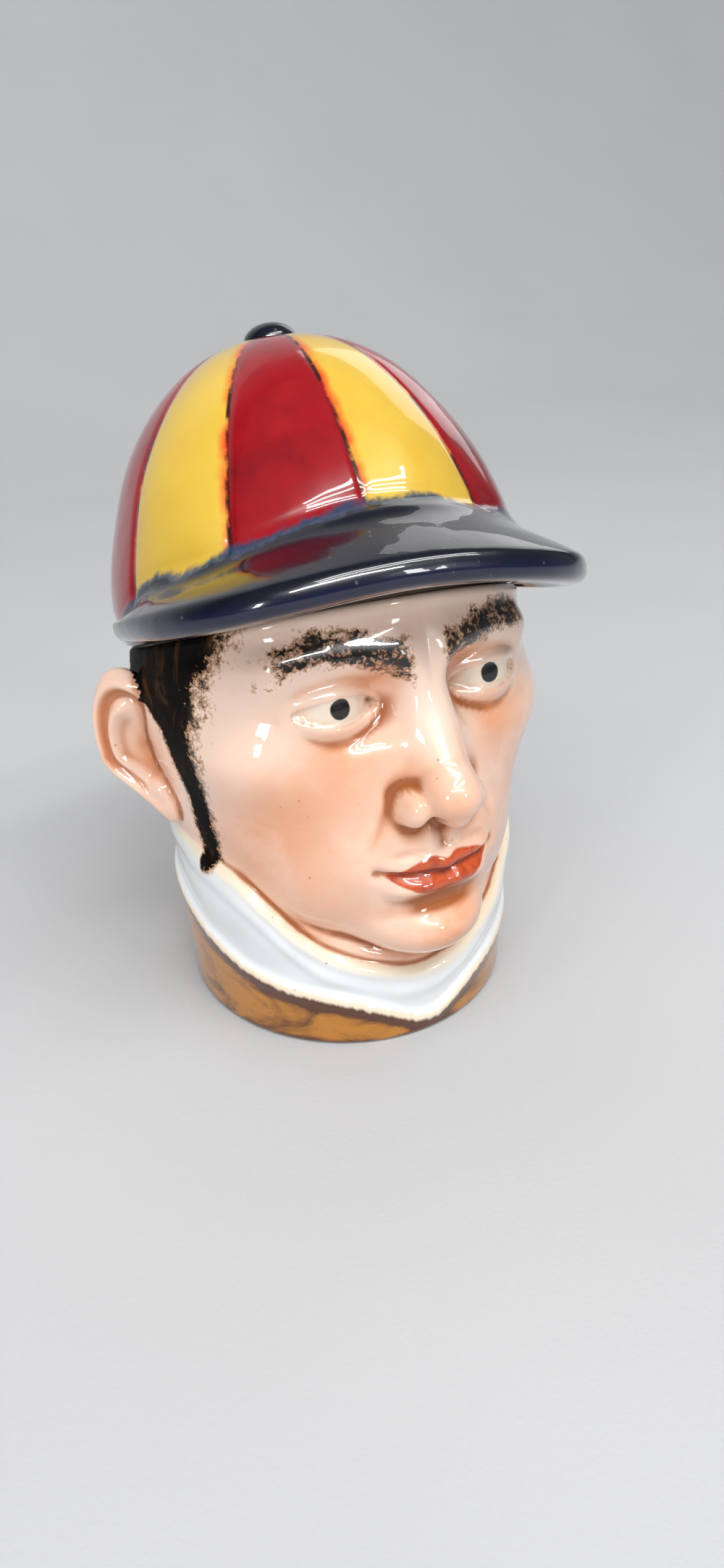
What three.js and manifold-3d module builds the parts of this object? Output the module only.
// Tobacco jar in the form of a jockey's head: a hollow glazed head that stands on its cut neck,
// and a racing cap, hollow too, that lifts off as its lid.
// Millimetres. The origin is the middle of the underside, +Z is up and the face looks along -Y.
// An angle theta runs round the jar from the front (0) towards +X (90) and the back (180).
import * as THREE from "three";
import { mergeVertices } from "three/addons/utils/BufferGeometryUtils.js";
import Module from "manifold-3d";

const wasm = await Module();
wasm.setup();

const { degToRad: radians, radToDeg: degrees, lerp: mix } = THREE.MathUtils;

// The rim is a slanting plane, higher at the face, and the lid lies on it. It curves up further towards
// the forehead, behind the peak, and leans a little to the side
const rim = { y: 4.4, z: 83.4, tilt: radians(15.5), side: 42.2, front: 41.6, back: 46.0, round: 1.6, lift: -0.75,
  lean: 0.04, rise: 0.15, bend: 18 };
const wall = { thick: 4.6, floor: 5.5, land: 5.8 };
const foot = { side: 36.2, deep: 37.2, bevel: 1.2 };

// The face leans back a little. X is to the side, f forward and z up in its own frame
const face = { foot: -5, lean: radians(7) };
const eye = { x: 16.8, f: 29.6, z: 75.6, ball: 8.6, lid: 1.15, half: 8.6, above: 2.75, below: 2.35 };
const ray = { start: 66, steps: 60, fall: 0.42, aim: 41 };

// Plain forms that make up the face, each joined on or cut away with a fillet of its blend size.
// A form off the middle stands for the same one on the other side.
const cranium = { centre: [0, 0, 80], side: 43, front: 42, back: 46, high: 64 };
const masses = {
  jaw: { centre: [0, 12, 55], radii: [33, 28.5, 33], blend: 10 },
  throat: { centre: [0, 14, 37], radii: [29, 26, 20], blend: 9 },
  jawCorner: { centre: [25, -4, 44], radii: [11, 15, 14], blend: 9 },
  cheekbone: { centre: [24.5, 20, 66], radii: [12.5, 12, 8], blend: 9 },
  chin: { centre: [0, 33.5, 26.5], radii: [13, 11.5, 8], blend: 6 },
  muzzle: { centre: [0, 29, 43], radii: [17, 14.5, 11], blend: 7 },
  brow: { start: [5, 37.4, 83], end: [25, 29.5, 83.8], radius: 5.2, endRadius: 4.6, blend: 6 },
  socket: { centre: [17, 42, 76], radii: [12, 7.8, 7], blend: 5, cut: true },
  innerCorner: { centre: [8.5, 43.5, 76.5], radii: [5, 6, 6], blend: 4, cut: true },
};
const noseForms = {
  root: { start: [0, 36.8, 79], end: [0, 42, 62], radius: 4.4, endRadius: 6.5, blend: 5 },
  bridge: { start: [0, 38.6, 77], end: [0, 48.4, 59], radius: 2.8, endRadius: 4.2, blend: 3.5 },
  tip: { centre: [0, 48.9, 57.8], radii: [5.3, 5.4, 4.9], blend: 3 },
  wing: { centre: [6.4, 43.6, 55.4], radii: [3.7, 5, 4], blend: 2 },
  septum: { centre: [0, 46.5, 53.4], radii: [2.4, 5.5, 2.6], blend: 1.8 },
  nostril: { centre: [3.9, 46.3, 51.9], radii: [1.9, 3.3, 2.4], blend: 1, cut: true },
};
const lipForms = {
  upper: { centre: [4, 39.6, 42.9], radii: [9, 5.4, 2.7], blend: 1.4 },
  bow: { centre: [0, 42, 42.2], radii: [3.2, 3.6, 2.2], blend: 1.2 },
  lower: { centre: [3, 39.4, 37.6], radii: [9, 5.6, 3.1], blend: 1.6 },
};
const underLip = { centre: [0, 47, 32.6], radii: [12, 4.6, 2.8], blend: 3.5, cut: true };
const lipLine = { z: 40.3, curve: 0.01, dip: 0.35, depth: 1.3, corner: [13.4, 41.8] };

// Neck dress: heights of the stock's top edge and of the coat's edge, by angle from the front
const stockTop = [[0, 16.4], [12, 18.2], [25, 21.5], [38, 25.5], [48, 31], [56, 37], [66, 40.2], [80, 42.2],
  [100, 43.5], [130, 44.5], [180, 45]];
const coatTop = [[0, 4.5], [6, 6.2], [14, 9.6], [24, 12.6], [36, 14.8], [50, 16.2], [62, 18.5], [76, 22],
  [90, 26.5], [110, 30], [140, 31.5], [180, 32]];
const coatThick = 1.1;

const ear = { x: 39.8, y: 1.0, z: 63.5, flare: radians(40), lean: radians(9), high: 17.5, wide: 10.5 };

// Cap: a domed crown of ten panels over the rim plane, a peak and a button
const crown = { side: 43.45, front: 44.8, back: 49.0, high: 58.9, waist: 9, tuck: 0.05, shift: 4.4 };
const bulge = { rise: 1.48, reach: 2.32, shift: 1.16 };
const panels = { count: 10, turn: radians(8), groove: 0.55, puff: 0.5, width: radians(2.4) };
const peak = { side: 46.3, front: 61, corner: 3, turn: radians(-7), half: 3.3, joint: 15.2, jointRise: 7.8,
  low: 1.9, lowRise: 5.4, droop: 0.05, from: radians(80), to: radians(104), taperFrom: radians(60), taper: 12,
  thinning: 0.45 };
const button = { radius: 5.6, high: 3.6 };
const fit = { seat: 0.3, side: 0.8, depth: 5, thick: 3.9, overhang: 0.9 };

// Rows and columns of the two surfaces
const grid = { faceHalf: radians(62), faceColumns: 42, backColumns: 14, coatRows: 3, stockRows: 3, headRows: 29,
  cavityColumns: 32, crownRows: 9, peakRows: 9, hollowColumns: 24 };

// Soft steps and soft joins of distance fields, where a negative distance is inside
const clamp = (t) => THREE.MathUtils.clamp(t, 0, 1);
const bell = (x, width) => Math.exp(-((x / width) ** 2));
const oval = (theta, side, front, back) =>
  1 / Math.hypot(Math.sin(theta) / side, Math.cos(theta) / (Math.cos(theta) > 0 ? front : back));

function ramp(x, low, high) {
  const t = clamp((x - low) / (high - low));
  return t * t * (3 - 2 * t);
}

function join(a, b, k) {
  const h = clamp(0.5 + (0.5 * (b - a)) / k);
  return mix(b, a, h) - k * h * (1 - h);
}

const carve = (a, b, k) => -join(-a, b, k);
const both = (a, b, k) => -join(-a, -b, k);

function ellipsoid([x, f, z], [cx, cf, cz], [rx, rf, rz]) {
  const q = [(x - cx) / rx, (f - cf) / rf, (z - cz) / rz];
  const near = Math.hypot(...q) + 1e-9;
  return (near * (near - 1)) / (Math.hypot(q[0] / rx, q[1] / rf, q[2] / rz) + 1e-9);
}

function rod(p, { start, end, radius, endRadius }) {
  const axis = end.map((e, i) => e - start[i]);
  const along = p.reduce((sum, c, i) => sum + (c - start[i]) * axis[i], 0);
  const t = clamp(along / axis.reduce((sum, a) => sum + a * a, 0));
  return Math.hypot(...p.map((c, i) => c - start[i] - t * axis[i])) - mix(radius, endRadius, t);
}

// Joins each of the forms to the distance d, or cuts it away
function withForms(p, d, forms) {
  return Object.values(forms).reduce((sum, form) => {
    const own = form.start ? rod(p, form) : ellipsoid(p, form.centre, form.radii);
    return form.cut ? carve(sum, own, form.blend) : join(sum, own, form.blend);
  }, d);
}

// Height of a stepped edge, by angle from the front in degrees, with its corners rounded off
function edgeHeight(theta, knots) {
  const at = (angle) => {
    const i = Math.max(1, knots.findIndex(([a]) => a >= angle));
    const [[a0, z0], [a1, z1]] = [knots[i - 1], knots[i]];
    return mix(z0, z1, clamp((angle - a0) / (a1 - a0)));
  };
  const angle = Math.min(Math.abs(theta), 180);
  return (at(Math.max(0, angle - 4)) + 2 * at(angle) + at(Math.min(180, angle + 4))) / 4;
}

function skull(p) {
  const { centre, side, front, back, high } = cranium;
  return ellipsoid(p, centre, [side, p[1] > 0 ? front : back, high]);
}

// The nose, with a crease round its wings
function withNose(p, d) {
  const [x, f, z] = p;
  const crease = f > 20 ? 0.7 * bell(Math.hypot(x - 9.8, (z - 57.5) * 0.55), 1.5) : 0;
  return withForms(p, d, noseForms) + crease;
}

function withEyes(p, d) {
  const [x, f, z] = p;
  const u = (x - eye.x) / eye.half;
  const arch = Math.max(0, 1 - u * u);
  const upper = eye.z + eye.above * arch ** 0.75 * (1 - 0.1 * u) + 0.35 * u;
  const lower = eye.z - eye.below * arch ** 0.9 * (1 + 0.15 * u) + 0.35 * u;
  const opening = both(z - upper, lower - z, 0.3) + eye.half * Math.max(0, Math.abs(u) - 1);
  const shell = ellipsoid(p, [eye.x, eye.f, eye.z], Array(3).fill(eye.ball + eye.lid));
  d = join(d, carve(shell, opening, 0.5), 2.2);
  d = carve(d, both(opening, 30 - f, 0.3), 0.5);
  d = join(d, ellipsoid(p, [eye.x, eye.f, eye.z], Array(3).fill(eye.ball)), 0.35);
  const crease = bell(z - upper - 2.9 - 0.3 * u, 0.8) * ramp(1.15 - Math.abs(u), 0, 0.35);
  return d + 0.55 * crease * ramp(f, 22, 30);
}

function withMouth(p, d) {
  const [x, f, z] = p;
  const front = ramp(f, 22, 30);
  const line = lipLine.z + lipLine.curve * x * x - lipLine.dip * bell(x, 2);
  const parting = lipLine.depth * bell(z - line, 0.7) * ramp(-x, -14.2, -11);
  const corner = 0.8 * bell(Math.hypot(x - lipLine.corner[0], z - lipLine.corner[1]), 1.5);
  return withForms(p, withForms(p, d, lipForms) + (parting + corner) * front, { underLip });
}

// The stock stands round the neck and the coat lies over its foot, with a point at the front
function dress(x, y, z) {
  const theta = degrees(Math.atan2(x, -y));
  const girth = oval(radians(theta), foot.side, foot.deep, foot.deep) + 3.2 * ramp(z, 0, 45);
  const out = Math.hypot(x, y) - girth;
  const hem = edgeHeight(theta, coatTop);
  const stock = both(out, (z - edgeHeight(theta, stockTop)) * 0.9, 2.2);
  const lip = 0.35 * bell(z - hem + 2.2, 1.6);
  const throat = both(out + 2.6, z - edgeHeight(theta, stockTop) - 4, 3);
  return join(join(stock, both(out - coatThick - lip, (z - hem) * 0.9, 1.6), 0.8), throat, 1.5);
}

function head(x, y, z) {
  const [c, s] = [Math.cos(face.lean), Math.sin(face.lean)];
  const p = [Math.abs(x), -(y - face.foot) * c + z * s, (y - face.foot) * s + z * c];
  const bare = withForms(p, skull(p), masses);
  return join(withMouth(p, withEyes(p, withNose(p, bare))), dress(x, y, z), 0.9);
}

// How far the rim's own edge lies over its even plane
const rimLift = (sideways, forward) =>
  rim.lift - rim.lean * sideways + 0.5 * rim.rise * (forward + Math.hypot(forward, rim.bend));

// The point at a reach from the jar's axis. h runs from the underside (0) to the rim plane (1).
// Rays at the face start a little higher outside, so that they meet the underside of nose and chin.
function jarPoint(h, theta, reach) {
  const tilt = rim.tilt * ramp(h, 0.15, 1);
  const fall = ray.fall * ramp(Math.cos(theta), 0, 0.8) * ramp(h, 0.05, 0.25) * ramp(1 - h, 0.06, 0.34);
  const sideways = Math.sin(theta) * reach;
  const forward = Math.cos(theta) * reach;
  const rise = fall * (ray.aim - reach) + rimLift(sideways, forward) * ramp(h, 0.4, 1);
  return new THREE.Vector3(
    sideways,
    rim.y * h ** 1.3 - forward * Math.cos(tilt) + rise * Math.sin(tilt),
    rim.z * h + forward * Math.sin(tilt) + rise * Math.cos(tilt),
  );
}

// How far out the head's surface is on that ray, or the surface a given depth inside it
function jarReach(h, theta, depth = 0) {
  let reach = ray.start;
  for (let step = 0; step < ray.steps; step++) {
    const d = head(...jarPoint(h, theta, reach)) + depth;
    reach -= THREE.MathUtils.clamp(d, -1.5, 4) * 0.78;
  }
  return reach;
}

const wrapped = (theta) => Math.atan2(Math.sin(theta), Math.cos(theta));
const rimReach = (theta) => oval(theta, rim.side, rim.front, rim.back);
const quarterRound = (t, radius) => radius * (1 - Math.sqrt(Math.max(0, 1 - (1 - clamp(t)) ** 2)));

// Outside of the jar: the head, drawn to an even oval at the rim, with both edges rounded
function outsideReach(h, theta) {
  const even = mix(jarReach(h, theta), rimReach(theta), ramp(h, 0.9, 0.985));
  const low = quarterRound((h * rim.z) / foot.bevel, foot.bevel);
  const top = quarterRound(((1 - h) * rim.z) / rim.round, rim.round);
  return even - low - top;
}

// Inside of the jar: the wall is even, so hollows in the face show on the inside too
function insideReach(h, theta) {
  const slant = (1 - Math.min(h, 1)) * rim.z * Math.sin(rim.tilt) * Math.cos(theta);
  const mouth = rimReach(theta) - wall.land + 0.8 * slant;
  const aside = radians(6);
  const near = [-aside, 0, aside].map((turn) => jarReach(Math.min(h, 0.96), theta + turn, wall.thick));
  return Math.min(mix(Math.min(...near), mouth, ramp(h, 0.83, 0.91)), mouth + 3);
}

// A lathed grid whose vertices are then moved: place(row, angle) gives each one's position
function movedLathe(rows, segments, place) {
  const profile = Array.from({ length: rows + 1 }, (_, row) => {
    const turn = (Math.PI * row) / rows;
    return new THREE.Vector2(Math.sin(turn), -Math.cos(turn));
  });
  profile[0].x = 0;
  profile[rows].x = 0;
  const lathe = new THREE.LatheGeometry(profile, segments);
  const position = lathe.attributes.position;
  for (let i = 0; i < position.count; i++) {
    const column = Math.floor(i / (rows + 1)) % segments;
    const point = place(i % (rows + 1), column);
    position.setXYZ(i, point.x, point.y, point.z);
  }
  return lathe;
}

function solid(geometry) {
  const bare = geometry.clone();
  for (const name of Object.keys(bare.attributes)) if (name !== "position") bare.deleteAttribute(name);
  const merged = mergeVertices(bare, 1e-4);
  const made = new wasm.Manifold(
    new wasm.Mesh({
      numProp: 3,
      vertProperties: merged.attributes.position.array,
      triVerts: new Uint32Array(merged.index.array),
    }),
  );
  return made.volume() < 0 ? flipped(merged) : made;
}

function flipped(merged) {
  const turned = new Uint32Array(merged.index.array);
  for (let i = 0; i < turned.length; i += 3) [turned[i], turned[i + 1]] = [turned[i + 1], turned[i]];
  const vertProperties = merged.attributes.position.array;
  return new wasm.Manifold(new wasm.Mesh({ numProp: 3, vertProperties, triVerts: turned }));
}

function geometryOf(manifold) {
  const { vertProperties, triVerts } = manifold.getMesh();
  const geometry = new THREE.BufferGeometry()
    .setAttribute("position", new THREE.BufferAttribute(vertProperties, 3))
    .setIndex(new THREE.BufferAttribute(triVerts, 1));
  geometry.computeVertexNormals();
  return geometry;
}

// Columns stand close together over the face and wider over the plain back
function jarAngle(column) {
  const { faceHalf, faceColumns, backColumns } = grid;
  if (column < faceColumns) {
    const place = (2 * column) / faceColumns - 1;
    return faceHalf * (0.66 * place + 0.34 * place ** 3);
  }
  return mix(faceHalf, 2 * Math.PI - faceHalf, (column - faceColumns) / backColumns);
}

// Which ray meets the neck at a given height
function shareAtHeight(z, theta) {
  let h = z / rim.z;
  for (let step = 0; step < 8; step++) h += (z - jarPoint(h, theta, foot.deep).z) / rim.z;
  return h;
}

const spread = (from, to, count) => Array.from({ length: count }, (_, i) => mix(from, to, (i + 1) / (count + 1)));

// Rows follow the coat's edge and the stock's top edge round the neck, so that both edges are clean
function jarRows(theta) {
  const { coatRows, stockRows, headRows } = grid;
  const edge = 0.6 / rim.z;
  const hem = shareAtHeight(edgeHeight(degrees(theta), coatTop), theta);
  const top = shareAtHeight(edgeHeight(degrees(theta), stockTop), theta);
  const footRows = [0, 0.0035, 0.0145];
  const rimRows = [0.9865, 0.996, 1];
  return [...footRows, ...spread(footRows.at(-1), hem - edge, coatRows), hem - edge, hem + edge,
    ...spread(hem + edge, top - edge, stockRows), top - edge, top + edge,
    ...spread(top + edge, rimRows[0], headRows), ...rimRows];
}

function headSolid() {
  const columns = grid.faceColumns + grid.backColumns;
  const rows = Array.from({ length: columns }, (_, column) => jarRows(wrapped(jarAngle(column))));
  const last = rows[0].length + 1;
  return solid(
    movedLathe(last, columns, (row, column) => {
      const theta = jarAngle(column);
      if (row === 0) return new THREE.Vector3(0, 0, 0);
      if (row === last) return jarPoint(1, 0, 0);
      const h = rows[column][row - 1];
      return jarPoint(h, theta, outsideReach(h, theta));
    }),
  );
}

function cavitySolid() {
  const floor = wall.floor / rim.z;
  const heights = [floor, floor, floor * 1.12, floor * 1.6, 0.2, 0.32, 0.44, 0.56, 0.68, 0.77, 0.84, 0.92, 1, 1.03];
  const inset = [0, 2.6, 0.8, 0];
  const columns = grid.cavityColumns;
  return solid(
    movedLathe(heights.length, columns, (row, column) => {
      const theta = (2 * Math.PI * column) / columns;
      if (row === 0) return new THREE.Vector3(0, 0, wall.floor);
      if (row === heights.length) return jarPoint(heights.at(-1), 0, 0);
      return jarPoint(heights[row], theta, insideReach(heights[row], theta) - (inset[row] ?? 0));
    }),
  );
}

// An ear is a thick shell with a rolled edge round a hollow, joined to the head along its front edge
function earSolid(side) {
  const sphere = new THREE.SphereGeometry(1, 16, 12);
  const position = sphere.attributes.position;
  const out = new THREE.Vector3(Math.sin(ear.flare), Math.cos(ear.flare), 0);
  const normal = new THREE.Vector3(Math.cos(ear.flare), -Math.sin(ear.flare), 0);
  const up = new THREE.Vector3(0, 0, 1);
  for (let i = 0; i < position.count; i++) {
    const [x, y, z] = [position.getX(i), position.getY(i), position.getZ(i)];
    const r = Math.min(1, Math.hypot(x, z));
    const turn = Math.atan2(z, x);
    const { u, v, n } = earShape(r, turn, y >= 0);
    const point = new THREE.Vector3(ear.x, ear.y, ear.z)
      .addScaledVector(out, u + v * Math.sin(ear.lean))
      .addScaledVector(up, v * Math.cos(ear.lean))
      .addScaledVector(normal, n);
    position.setXYZ(i, side * point.x, point.y, point.z);
  }
  return solid(sphere);
}

// Ear outline and relief: r runs from the middle (0) to the edge (1), turn from the back up and round
function earShape(r, turn, front) {
  const lobe = ramp(-Math.sin(turn), 0.2, 1);
  const u = ear.wide * r * Math.cos(turn) * (1 - 0.42 * lobe) + 6.5 - 3.2 * lobe * r;
  const v = ear.high * r * Math.sin(turn);
  if (!front) return { u, v, n: -3.4 * Math.sqrt(Math.max(0, 1 - r * r)) - 0.6 };
  const behind = ramp(Math.cos(turn), -0.75, -0.2) * (1 - lobe);
  const roll = 2.4 * bell(r - 0.86, 0.13) * behind;
  const ridge = 1.6 * bell(r - 0.55, 0.12) * ramp(Math.cos(turn), -0.1, 0.4) * (1 - lobe);
  const bowl = -3.6 * bell(r, 0.42) * (1 - 0.4 * lobe);
  const edge = Math.sqrt(Math.max(0, 1 - r ** 6));
  return { u, v, n: (1.2 + roll + ridge + bowl) * edge };
}

// A place on the cap: side and forward distances in the rim plane, and the height over that plane
function capPoint(sideways, forward, height) {
  const [c, s] = [Math.cos(rim.tilt), Math.sin(rim.tilt)];
  return new THREE.Vector3(sideways, rim.y - forward * c + height * s, rim.z + forward * s + height * c);
}

const seam = (2 * Math.PI) / panels.count;

// Each panel swells a little between its two grooved seams. The relief fades out at the button.
function panelRelief(theta, share) {
  const place = (((theta - panels.turn) / seam + 0.5) % 1 + 1) % 1;
  const off = Math.min(place, 1 - place) * seam;
  const depth = panels.groove * bell(off, panels.width) - panels.puff * Math.sin(Math.PI * place) ** 0.8;
  return depth * ramp(share, 0.12, 0.4);
}

// The crown's outline at a height over the rim plane, less a depth for its inside
function crownPoint(theta, height, depth = 0) {
  const s = clamp(height / (crown.high - depth));
  const low = crown.waist / crown.high;
  const share = (1 - clamp((s - low) / (1 - low)) ** bulge.rise) ** (1 / bulge.reach);
  const tuck = 1 - crown.tuck * clamp((low - s) / low) ** 2;
  const inward = depth || panelRelief(theta, share);
  const deep = Math.cos(theta) > 0 ? crown.front : crown.back;
  return capPoint(
    Math.sin(theta) * (crown.side * share * tuck - inward * share),
    Math.cos(theta) * (deep * share * tuck - inward * share) - crown.shift * s ** bulge.shift,
    height,
  );
}

// Height on the crown where its outline has a given share of the full width
function heightAt(share, depth = 0) {
  const low = crown.waist / crown.high;
  return (low + (1 - low) * (1 - share ** bulge.reach) ** (1 / bulge.rise)) * (crown.high - depth);
}

const ahead = (theta) => Math.max(0, Math.cos(theta - peak.turn));
const peakTaper = (theta) => ramp(Math.abs(wrapped(theta - peak.turn)), peak.taperFrom, peak.to);
const peakJoint = (theta) => peak.joint + peak.jointRise * ahead(theta) ** 4 - peak.taper * peakTaper(theta);

// Plan of the peak's edge, a rounded oblong
function peakReach(theta) {
  const side = Math.abs(Math.sin(theta - peak.turn)) / peak.side;
  return (side ** peak.corner + (ahead(theta) / peak.front) ** peak.corner) ** (-1 / peak.corner);
}

const seatHeight = (sideways, forward) => fit.seat + rimLift(sideways, forward);

// Section of the peak: from the crown down its top, round its thick edge and back under to the seat
function peakPoint(theta, t) {
  const seat = seatHeight(crown.side * Math.sin(theta), crown.front * Math.cos(theta));
  const level = mix(peakJoint(theta), seat, t);
  const onCrown = crownPoint(theta, level);
  const angle = Math.abs(wrapped(theta - peak.turn));
  const stand = 1 - ramp(angle, peak.from, peak.to);
  if (stand === 0) return onCrown;
  const reach = peakReach(theta);
  const low = peak.low + peak.lowRise * ahead(theta) ** 5 - peak.droop * reach * Math.sin(theta);
  const half = peak.half * (1 - peak.thinning * peakTaper(theta));
  const edge = new THREE.Vector2(reach - half, low + half);
  const start = new THREE.Vector2(crown.side - 0.6, peakJoint(theta));
  const slope = edge.clone().sub(start).normalize();
  const turnTop = Math.atan2(slope.x, -slope.y);
  const [topShare, edgeShare] = [0.45, 0.8];
  let section;
  if (t < topShare) {
    const along = t / topShare;
    const top = edge.clone().add(new THREE.Vector2(Math.cos(turnTop), Math.sin(turnTop)).multiplyScalar(half));
    section = start.clone().lerp(top, along);
    section.y -= 1.1 * Math.sin(Math.PI * along ** 0.6) * (1 - along);
  } else if (t < edgeShare) {
    const along = (t - topShare) / (edgeShare - topShare);
    const turn = mix(turnTop, -Math.PI / 2, along);
    section = edge.clone().add(new THREE.Vector2(Math.cos(turn), Math.sin(turn)).multiplyScalar(half));
  } else {
    const along = (t - edgeShare) / (1 - edgeShare);
    const overhang = new THREE.Vector2(rimReach(theta) + fit.overhang, seat);
    section = new THREE.Vector2(edge.x, edge.y - half).lerp(overhang, along);
  }
  const onPeak = capPoint(Math.sin(theta) * section.x, Math.cos(theta) * section.x, section.y);
  return onCrown.lerp(onPeak, stand);
}

// Columns of the cap: each panel has one on its seam, one close on each side and two between
const panelColumns = [0, 0.1, 0.36, 0.64, 0.9];

function capAngle(column) {
  const panel = Math.floor(column / panelColumns.length);
  return panels.turn - seam / 2 + seam * (panel + panelColumns[column % panelColumns.length]);
}

function capSolid() {
  const { crownRows, peakRows } = grid;
  const flange = [[0, 0], [0, 1 - fit.depth], [1, -fit.depth]];
  const rows = crownRows + peakRows + flange.length + 1;
  const top = capPoint(0, -crown.shift, crown.high);
  const shell = movedLathe(rows, panelColumns.length * panels.count, (row, column) => {
    const theta = capAngle(column);
    if (row === 0) return top;
    if (row < crownRows) {
      const jointShare = shareAt(peakJoint(theta));
      return crownPoint(theta, heightAt(Math.sin((row / crownRows) * Math.asin(jointShare))));
    }
    if (row <= crownRows + peakRows) return peakPoint(theta, (row - crownRows) / peakRows);
    if (row === rows) return capPoint(0, 0, seatHeight(0, 0) - fit.depth);
    const [inset, height] = flange[row - crownRows - peakRows - 1];
    const reach = rimReach(theta) - wall.land - fit.side - inset;
    const [sideways, forward] = [Math.sin(theta) * reach, Math.cos(theta) * reach];
    return capPoint(sideways, forward, seatHeight(sideways, forward) + height);
  });
  return solid(shell).add(solid(buttonGeometry())).subtract(solid(capHollow()));
}

function shareAt(height) {
  const low = crown.waist / crown.high;
  return (1 - clamp((height / crown.high - low) / (1 - low)) ** bulge.rise) ** (1 / bulge.reach);
}

function buttonGeometry() {
  const dome = new THREE.SphereGeometry(button.radius, 16, 6);
  dome.scale(1, button.high / button.radius, 1).rotateX(Math.PI / 2 - rim.tilt);
  const top = capPoint(0, -crown.shift, crown.high - 0.4);
  return dome.translate(top.x, top.y, top.z);
}

function capHollow() {
  const shares = [0.25, 0.5, 0.7, 0.85, 0.95, 1];
  const rows = shares.length + 3;
  const below = -fit.depth - 3;
  return movedLathe(rows, grid.hollowColumns, (row, column) => {
    const theta = (2 * Math.PI * column) / grid.hollowColumns;
    if (row === 0) return capPoint(0, -crown.shift, crown.high - fit.thick);
    if (row === rows) return capPoint(0, 0, below);
    const reach = rimReach(theta) - wall.land - fit.side - fit.thick;
    const [sideways, forward] = [Math.sin(theta) * reach, Math.cos(theta) * reach];
    const lift = rimLift(sideways, forward);
    if (row > shares.length) return capPoint(sideways, forward, row === rows - 1 ? below : 3 + lift);
    const level = heightAt(shares[row - 1], fit.thick);
    return crownPoint(theta, level + 0.5 * lift * clamp(2 - level / crown.waist), fit.thick);
  });
}

function glazed(name, manifold, colour) {
  const material = new THREE.MeshStandardMaterial({ color: colour, roughness: 0.12, metalness: 0 });
  const mesh = new THREE.Mesh(geometryOf(manifold), material);
  mesh.name = name;
  return mesh;
}

const jar = new THREE.Group();
const headWithEars = headSolid().add(earSolid(1)).add(earSolid(-1)).subtract(cavitySolid());
jar.add(glazed("jar", headWithEars, 0xe6c3ae));
jar.add(glazed("lid", capSolid(), 0x9c1420));

export default jar;
